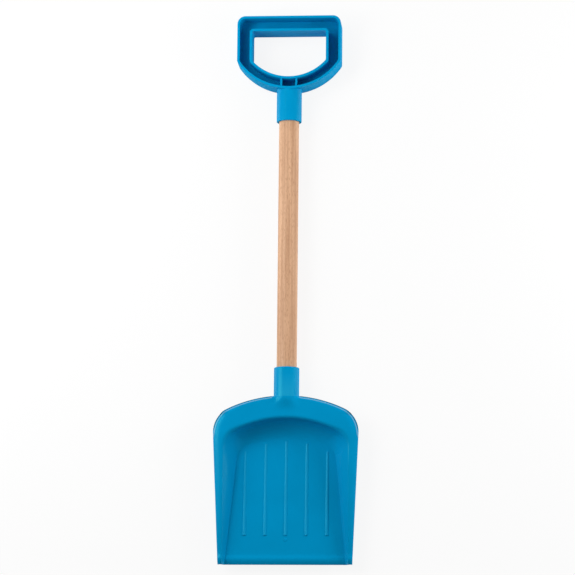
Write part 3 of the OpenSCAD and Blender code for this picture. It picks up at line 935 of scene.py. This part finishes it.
def rib_tree(scoop, form, places, material):
    """Tree that lays the scoop's ribs on its floor: beads that get lower toward their rear ends."""
    values = {
        "Count": scoop.rib_count,
        "Pitch": scoop.rib_pitch,
        "Bead": (scoop.rib_width**2 / 4 + scoop.rib_height**2) / (2 * scoop.rib_height),
        "Height": scoop.rib_height,
        "Sink": scoop.rib_sink,
        "Root": scoop.rib_root,
        "Front": scoop.rib_front,
        "Rear": form.floor_length - scoop.rib_gap,
        "Arc": scoop.rib_arc,
        "Slope": math.atan2(scoop.floor_rise, form.floor_length),
        "Edge": places.front,
        "Floor": float(form.floor_z(0)),
    }
    tree, sheet, given, settings = open_tree("scoop_ribs", values)
    node, calc, times, vector = sheet.node, sheet.math, sheet.times, sheet.vector
    count, pitch, bead, height = (given[key] for key in ("Count", "Pitch", "Bead", "Height"))
    front, slope, arc = (given[key] for key in ("Front", "Slope", "Arc"))

    # Front ends of the ribs, in a row on the floor
    first = times(times(calc("SUBTRACT", count, 1), pitch), -0.5)
    line = node("GeometryNodeMeshLine", Count=count, Start_Location=vector(first), Offset=vector(pitch))
    x = node("ShaderNodeSeparateXYZ", Vector=node("GeometryNodeInputPosition"))
    fall = times(calc("TANGENT", slope), front)
    crown = calc("ADD", calc("SUBTRACT", given["Floor"], fall), height)
    place = vector(x, calc("ADD", given["Edge"], front), crown)
    starts = node("GeometryNodeSetPosition", Geometry=line, Position=place)

    # Rear ends on an arc, which gives each rib its length and its tilt
    chord = calc("SQRT", calc("SUBTRACT", calc("POWER", arc, 2), calc("POWER", x, 2)))
    rear = calc("SUBTRACT", given["Rear"], calc("SUBTRACT", arc, chord))
    reach = calc("SUBTRACT", rear, front)
    tilt = calc("ADD", slope, calc("ARCTAN2", times(height, given["Sink"]), reach))

    # Section of the bead with its crown at the origin, closed by a flat chord under the floor
    deep = calc("ADD", height, given["Root"])
    half_angle = calc("ARCCOSINE", calc("SUBTRACT", 1, calc("DIVIDE", deep, bead)))
    start, sweep = calc("SUBTRACT", -math.pi / 2, half_angle), times(half_angle, 2)
    section = node(
        "GeometryNodeCurveArc", Resolution=RIB_ROUND, Radius=bead, Start_Angle=start, Sweep_Angle=sweep
    )
    closed = node("GeometryNodeSetSplineCyclic", Geometry=section, Cyclic=True)
    lowered = node("GeometryNodeTransform", Geometry=closed, Translation=vector(0, bead))
    path = node("GeometryNodeCurvePrimitiveLine", Start=(0, 0, 0), End=(0, 1, 0))
    rib = node("GeometryNodeCurveToMesh", Curve=path, Profile_Curve=lowered, Fill_Caps=True)
    lean, stretch = vector(times(tilt, -1)), vector(1, reach, 1)
    close_tree(sheet, material, Points=starts, Instance=rib, Rotation=lean, Scale=stretch)
    return tree, settings


def screw_tree(screw, places, material):
    """Tree that sets one countersunk cross-head screw at each place."""
    values = {
        "Count": len(places.screws),
        "Head": screw.head / 2,
        "Shank": screw.shank / 2,
        "Length": screw.length,
        "Slot": screw.slot,
        "Slot depth": screw.slot_depth,
        "Slot length": screw.slot_length,
        "First": min(places.screws),
        "Apart": abs(places.screws[1] - places.screws[0]),
        "Seat": places.socket_back + screw.sink,
    }
    tree, sheet, given, settings = open_tree("socket_screws", values)
    node, calc, times, vector = sheet.node, sheet.math, sheet.times, sheet.vector
    head, shank, long = given["Head"], given["Shank"], given["Length"]
    taper = calc("SUBTRACT", head, shank)
    cone = node("GeometryNodeMeshCone", Radius_Top=shank, Radius_Bottom=head, Depth=taper)

    # The shank starts inside the head, halfway up its taper
    rod = node("GeometryNodeMeshCylinder", Radius=times(shank, SHANK_SHARE))
    sheet.put(rod.inputs["Depth"], calc("SUBTRACT", long, times(taper, 0.5)))
    for made in (cone, rod):
        made.inputs["Vertices"].default_value = SMALL_ROUND
    middle = calc("ADD", times(long, 0.5), times(taper, 0.25))
    rod = node("GeometryNodeTransform", Geometry=rod, Translation=vector(0, 0, middle))
    blank = node("GeometryNodeMeshBoolean", {"operation": "UNION"}, Mesh_2=[cone, rod])

    # Two crossed bars cut the slots
    thin, wide, deep = given["Slot"], given["Slot length"], times(given["Slot depth"], 2)
    bars = [node("GeometryNodeMeshCube", Size=vector(*sides, deep)) for sides in ((wide, thin), (thin, wide))]
    slotted = node("GeometryNodeMeshBoolean", {"operation": "DIFFERENCE"}, Mesh_1=blank, Mesh_2=bars)
    start, step = vector(0, given["First"], given["Seat"]), vector(0, given["Apart"])
    line = node("GeometryNodeMeshLine", Count=given["Count"], Start_Location=start, Offset=step)
    close_tree(sheet, material, Points=line, Instance=slotted)
    return tree, settings


def grown(name, tree, settings):
    """The plain mesh object that a tree gives."""
    piece = placed_object(name, bpy.data.meshes.new(name))
    step = piece.modifiers.new("grow", "NODES")
    step.node_group = tree
    for identifier, value in settings.items():
        step[identifier] = value
    settle(piece)
    return piece


def grain_group():
    """Shared effect: soft clouding, fine grain and fine scratches along the shovel."""
    tree = bpy.data.node_groups.new("surface_grain", "ShaderNodeTree")
    tree.interface.new_socket("Vector", in_out="INPUT", socket_type="NodeSocketVector")
    for way, names in (("INPUT", GRAIN_SCALES), ("OUTPUT", GRAIN_MASKS)):
        for name in names:
            tree.interface.new_socket(name, in_out=way, socket_type="NodeSocketFloat")
    sheet = Sheet(tree)
    place, cloud, grain, scratch, *_ = sheet.node("NodeGroupInput").outputs
    lines = sheet.noise(place, scratch, detail=2.0, draw=SCRATCH_DRAW, turn=SCRATCH_TURN)
    spots = sheet.noise(place, SCRATCH_SPOTS, detail=1.0)
    sheet.node(
        "NodeGroupOutput",
        Cloud=sheet.noise(place, cloud, detail=3.0, roughness=0.55),
        Grain=sheet.noise(place, grain, detail=2.0, roughness=0.6),
        Scratch=sheet.times(sheet.ranged(lines, SCRATCH_LINES), sheet.ranged(spots, SCRATCH_PATCHES)),
    )
    return tree


def blank_material(name):
    """An empty material and its sheet."""
    material = bpy.data.materials.new(name)
    material.use_nodes = True
    material.node_tree.nodes.clear()
    return material, Sheet(material.node_tree)


def grained(sheet, **scales):
    """The object's coordinates and the grain's three masks, at these scales."""
    place = sheet.node("ShaderNodeTexCoord").outputs["Object"]
    group = bpy.data.node_groups.get("surface_grain") or grain_group()
    made = sheet.node("ShaderNodeGroup", {"node_tree": group}, Vector=place, **scales)
    return place, *(made.outputs[key] for key in GRAIN_MASKS)


def plastic_material(finish):
    """Moulded blue plastic: satin skin with soft clouding, fine scratches, paler worn edges, rib crowns paler
    from wear and a painted highlight, and a painted highlight and painted shade along the rear rim.
    """
    material, sheet = blank_material("blue_plastic")
    _, cloud, grain, scratch = grained(sheet, Cloud_scale=26.0, Grain_scale=2400.0, Scratch_scale=1000.0)
    base = np.array(finish.plastic)
    worn = mix(base, np.array(finish.plastic_worn_and_sheen), 0.25)
    deep, pale = base * 0.97, base * 1.03
    tone = sheet.blend(sheet.ranged(cloud, CLOUDING), deep, pale)
    # Paler where the edge mark is: wear on edges, and on the ribs' crowns also a painted highlight
    tone = sheet.tint(tone, sheet.ranged(sheet.mark("edge"), EDGE_WEAR_AND_SHEEN), worn, share=0.35)
    tone = sheet.tint(tone, scratch, worn, share=0.08)

    # Painted light along the rear edge: a painted highlight line inside, painted shade at the edge itself
    rim, painted_highlight, painted_edge_shade = sheet.mark("rim"), base * 0.6 + 0.3, base * 0.2
    line = sheet.times(sheet.ranged(rim, HIGHLIGHT_START), sheet.ranged(rim, HIGHLIGHT_END, low=1.0, high=0.0))
    tone = sheet.tint(tone, line, painted_highlight, share=0.6)
    tone = sheet.tint(tone, sheet.ranged(rim, SHADED_EDGE), painted_edge_shade, share=0.85)

    # The skin is duller in its scratches and where it is seen at a low angle
    rough = sheet.math("ADD", sheet.ranged(cloud, CLOUDING, *SATIN), sheet.times(scratch, 0.12))
    facing = sheet.node("ShaderNodeLayerWeight", Blend=0.5).outputs["Facing"]
    height = sheet.math("SUBTRACT", grain, sheet.times(scratch, 0.8))
    sheet.coat(
        Base_Color=tone,
        Roughness=sheet.math("ADD", rough, sheet.ranged(facing, GRAZING, high=GRAZING_ROUGH)),
        Normal=sheet.bump(height, strength=0.1, distance=0.2 * MM),
        IOR=1.42,
        Specular_IOR_Level=0.3,
        Specular_Tint=(0.12, 1.0, 0.7, 1),
    )
    return material


def wood_material(finish):
    """Bare beech: long soft streaks and short dark flecks along the grain."""
    material, sheet = blank_material("bare_beech")
    place, cloud, grain, _ = grained(sheet, Cloud_scale=60.0, Grain_scale=3000.0, Scratch_scale=700.0)
    streak = sheet.noise(place, 420.0, detail=4.0, roughness=0.6, draw=0.02)
    broad = sheet.noise(place, 120.0, detail=2.0, draw=0.035)
    flecks = sheet.ranged(sheet.noise(place, 1700.0, detail=1.0, roughness=0.4, draw=0.13), FLECKS)
    base, dark = np.array(finish.wood_pale), np.array(finish.wood_dark)
    tone = sheet.blend(sheet.ranged(broad, NARROW_CLOUDING), base, mix(base, dark, 0.35))
    for mask, share in ((sheet.ranged(streak, STREAKS), 0.7), (flecks, 0.6), (cloud, 0.12)):
        tone = sheet.tint(tone, mask, dark, share)
    height = sheet.math("SUBTRACT", streak, sheet.times(flecks, 0.7))
    height = sheet.math("ADD", height, sheet.times(grain, 0.2))
    sheet.coat(
        Base_Color=tone,
        Roughness=sheet.ranged(streak, CLOUDING, *SANDED),
        Normal=sheet.bump(height, strength=0.35, distance=0.2 * MM),
        IOR=1.45,
    )
    return material


def steel_material(finish):
    """Zinc-plated steel with a fine brushed grain."""
    material, sheet = blank_material("plated_steel")
    _, cloud, grain, scratch = grained(sheet, Cloud_scale=300.0, Grain_scale=5200.0, Scratch_scale=2600.0)
    base = np.array(finish.steel)
    dull = base * 0.72
    sheet.coat(
        Base_Color=sheet.blend(sheet.ranged(cloud, NARROW_CLOUDING), dull, base),
        Roughness=sheet.ranged(grain, CLOUDING, *BRUSHED),
        Normal=sheet.bump(sheet.math("ADD", grain, scratch), strength=0.15, distance=0.1 * MM),
        Metallic=1.0,
    )
    return material


def finish_of(name, make):
    """The material of that name, made on first use."""
    return bpy.data.materials.get(name) or make(bpy.context.scene.shovel.finish)


class SHOVEL_OT_scoop(bpy.types.Operator):
    """Builds the scoop with its socket"""

    bl_idname = "shovel.scoop"
    bl_label = "Scoop"

    def execute(self, context):
        shovel = context.scene.shovel
        scoop, stick, places = shovel.scoop, shovel.stick, Places(shovel)
        form = ScoopForm(scoop, stick, places)
        piece = form.shell()
        reach = places.rear - form.TUBE_REACH
        combine(piece, socket_tube(stick, places, places.scoop_mouth, reach), "UNION")
        combine(piece, keel(stick, scoop, places, form), "UNION")
        combine(piece, socket_bore(stick, places, places.scoop_mouth, stick.scoop_seat, -1), "DIFFERENCE")
        combine(piece, screw_hole(shovel.screw, places, places.screws[0]), "DIFFERENCE")
        finish_piece(piece, finish_of("blue_plastic", plastic_material), "blade")
        mark_rim_shading(piece.data, form)
        return {"FINISHED"}


class SHOVEL_OT_scoop_ribs(bpy.types.Operator):
    """Lays the ribs and the moulding mark on the scoop's floor"""

    bl_idname = "shovel.scoop_ribs"
    bl_label = "Scoop ribs"

    def execute(self, context):
        shovel = context.scene.shovel
        scoop, places = shovel.scoop, Places(shovel)
        form = ScoopForm(scoop, shovel.stick, places)
        plastic = finish_of("blue_plastic", plastic_material)
        piece = grown("scoop_ribs", *rib_tree(scoop, form, places, plastic))
        combine(piece, gate_mark(scoop, form, places), "UNION")
        finish_piece(piece, plastic, "blade", sharp=50, worn=False)

        # The moulding mark lies in front of this line and gets neither the wear nor the painted highlight
        mark_crown_wear_and_sheen(piece.data, scoop, places.front + scoop.rib_front - MM)
        return {"FINISHED"}


class SHOVEL_OT_grip(bpy.types.Operator):
    """Builds the D-shaped grip with its socket"""

    bl_idname = "shovel.grip"
    bl_label = "Grip"

    def execute(self, context):
        shovel = context.scene.shovel
        grip, stick, places = shovel.grip, shovel.stick, Places(shovel)
        centre = places.grip_centre
        piece = grip_ring(grip, centre)
        for side in (-1, 1):
            combine(piece, grip_rib(grip, side * grip.rib_gap / 2, centre), "UNION")
        reach = places.grip_mouth + stick.grip_socket + GRIP_REACH * grip.wall
        combine(piece, socket_tube(stick, places, places.grip_mouth, reach), "UNION")
        combine(piece, socket_bore(stick, places, places.grip_mouth, stick.grip_seat, 1), "DIFFERENCE")
        combine(piece, screw_hole(shovel.screw, places, places.screws[1]), "DIFFERENCE")
        finish_piece(piece, finish_of("blue_plastic", plastic_material), "grip")
        return {"FINISHED"}


class SHOVEL_OT_stick(bpy.types.Operator):
    """Turns the wooden stick"""

    bl_idname = "shovel.stick"
    bl_label = "Stick"

    def execute(self, context):
        shovel = context.scene.shovel
        stick, places = shovel.stick, Places(shovel)
        low, high = places.scoop_mouth - stick.scoop_seat, places.grip_mouth + stick.grip_seat
        radius, bevel = stick.diameter / 2, stick.bevel
        profile = [(0, low), (radius - bevel, low), (radius, low + bevel)]
        profile += [(radius, mix(low + bevel, high - bevel, t)) for t in np.linspace(0, 1, STICK_ROWS)[1:]]
        profile += [(radius - bevel, high), (0, high)]
        waver, axis = stick.waver, places.axis

        def place(r, y, a):
            stray = sum(math.sin(along * y + round_ * a + start) for along, round_, start in WAVES)
            r = r - waver * (stray / len(WAVES) + 1) / 2 * (r > 0)
            return (r * math.cos(a), y, axis + r * math.sin(a))

        piece = turned("wood_stick", profile, place)
        finish_piece(piece, finish_of("bare_beech", wood_material), "stick")
        return {"FINISHED"}


class SHOVEL_OT_screws(bpy.types.Operator):
    """Sets the screws at the back of both sockets"""

    bl_idname = "shovel.screws"
    bl_label = "Screws"

    def execute(self, context):
        shovel = context.scene.shovel
        steel = finish_of("plated_steel", steel_material)
        piece = grown("socket_screws", *screw_tree(shovel.screw, Places(shovel), steel))
        finish_piece(piece, steel, "fixing_screws")
        return {"FINISHED"}


def floor_material(stage):
    """Pale floor that the camera sees almost white, with the shovel's shadow on it."""
    material, sheet = blank_material("pale_floor")
    cloth = sheet.node("ShaderNodeBsdfDiffuse", Color=(*stage.floor, 1))
    glow = sheet.node("ShaderNodeEmission", Color=(1, 1, 1, 1), Strength=1.0)
    ray = sheet.node("ShaderNodeLightPath").outputs
    seen = sheet.math("MAXIMUM", ray["Is Camera Ray"], ray["Is Glossy Ray"])
    seen = sheet.math("MAXIMUM", seen, ray["Is Transmission Ray"])
    share = sheet.times(seen, stage.floor_white)
    blend = sheet.node("ShaderNodeMixShader")
    sheet.row(blend, share, cloth, glow)
    sheet.node("ShaderNodeOutputMaterial", Surface=blend)
    return material


# Lamps: name, degrees round from the scoop's right, degrees above the floor, width and height in metres,
# watts, and whether glossy surfaces mirror them
LAMPS = (
    ("left_softbox", 172, 52, 0.41, 0.29, 1.5, False),
    ("left_low_softbox", 180, 34, 0.41, 0.46, 3.0, True),
    ("right_softbox", 6, 20, 0.41, 0.29, 3.9, False),
    ("front_right_softbox", 315, 26, 0.41, 0.29, 0.4, False),
    ("right_strip", 0, 6, 0.58, 0.06, 0.6, True),
    ("rear_left_softbox", 133, 48, 0.41, 0.29, 1.7, False),
    ("rear_strip", 90, 14, 0.7, 0.036, 1.1, True),
)

# Metres from the lamps to the place that they face
LAMP_DISTANCE = 0.82
LAMP_CENTRE = Vector((0, 0.05, 0))


def soft_light(name, around, above, width, height, power, mirrored):
    """Rectangular lamp that faces a place near the middle of the shovel."""
    lamp = bpy.data.lights.new(name, "AREA")
    lamp.shape = "RECTANGLE"
    lamp.size, lamp.size_y = width, height
    lamp.energy = power
    light = placed_object(name, lamp)
    around, above = math.radians(around), math.radians(above)
    away = Vector((math.cos(around) * math.cos(above), math.sin(around) * math.cos(above), math.sin(above)))
    light.visible_glossy = mirrored
    light.location = LAMP_CENTRE + away * LAMP_DISTANCE
    light.rotation_euler = away.to_track_quat("Z", "Y").to_euler()


class SHOVEL_OT_stage(bpy.types.Operator):
    """Lays the floor and sets the lights and the camera"""

    bl_idname = "shovel.stage"
    bl_label = "Stage"

    def execute(self, context):
        scene = context.scene
        shovel, stage = scene.shovel, scene.shovel.stage
        places = Places(shovel)
        side = stage.floor_half
        floor = bpy.data.meshes.new("floor")
        corners = [(-side, -side, 0), (side, -side, 0), (side, side, 0), (-side, side, 0)]
        floor.from_pydata(corners, [], [(0, 1, 2, 3)])
        floor.materials.append(floor_material(stage))
        ground = placed_object("floor", floor)

        for lamp in LAMPS:
            soft_light(*lamp)
        world = bpy.data.worlds.new("room")
        scene.world = world
        world.use_nodes = True
        sky = world.node_tree.nodes["Background"]
        sky.inputs["Color"].default_value = (1, 1, 1, 1)
        sky.inputs["Strength"].default_value = stage.fill

        level = math.cos(stage.pitch)
        toward = Vector((math.sin(stage.yaw) * level, -math.sin(stage.pitch), math.cos(stage.yaw) * level))
        up = Vector((0, 1, 0)) - toward * toward.y
        up.normalize()
        right = up.cross(toward)
        turn = Matrix.Rotation(stage.roll, 3, toward)
        up, right = turn @ up, turn @ right
        lens = bpy.data.cameras.new("camera")
        lens.sensor_width = SENSOR_WIDTH
        lens.lens = stage.focal * SENSOR_WIDTH / stage.image_width
        lens.clip_end = FARTHEST
        camera = placed_object("camera", lens)
        place = Vector((0, 0, places.axis)) + toward * stage.distance - up * stage.drop
        axes = Matrix((right, up, toward)).transposed()
        camera.matrix_world = Matrix.Translation(place) @ axes.to_4x4()
        scene.camera = camera
        scene.view_settings.view_transform = "Standard"
        return {"FINISHED"}


class SHOVEL_PT_panel(bpy.types.Panel):
    """Lists the steps that build the shovel"""

    bl_idname = "SHOVEL_PT_panel"
    bl_label = "Sand shovel"
    bl_space_type = "VIEW_3D"
    bl_region_type = "UI"
    bl_category = "Shovel"

    def draw(self, context):
        for step in STEPS:
            self.layout.operator(step.bl_idname)


STEPS = (
    SHOVEL_OT_scoop,
    SHOVEL_OT_scoop_ribs,
    SHOVEL_OT_grip,
    SHOVEL_OT_stick,
    SHOVEL_OT_screws,
    SHOVEL_OT_stage,
)
CLASSES = (
    StickSizes,
    GripSizes,
    ScoopSizes,
    ScrewSizes,
    Finishes,
    StageSettings,
    ShovelSettings,
    *STEPS,
    SHOVEL_PT_panel,
)


def register():
    """Makes the steps, the panel and the settings known to Blender."""
    for item in CLASSES:
        bpy.utils.register_class(item)
    bpy.types.Scene.shovel = PointerProperty(type=ShovelSettings)


def unregister():
    """Takes them away again."""
    del bpy.types.Scene.shovel
    for item in reversed(CLASSES):
        bpy.utils.unregister_class(item)


def main():
    """Builds the shovel and the stage."""
    register()
    bpy.ops.shovel.scoop()
    bpy.ops.shovel.scoop_ribs()
    bpy.ops.shovel.grip()
    bpy.ops.shovel.stick()
    bpy.ops.shovel.screws()
    bpy.ops.shovel.stage()


if __name__ == "__main__":
    main()
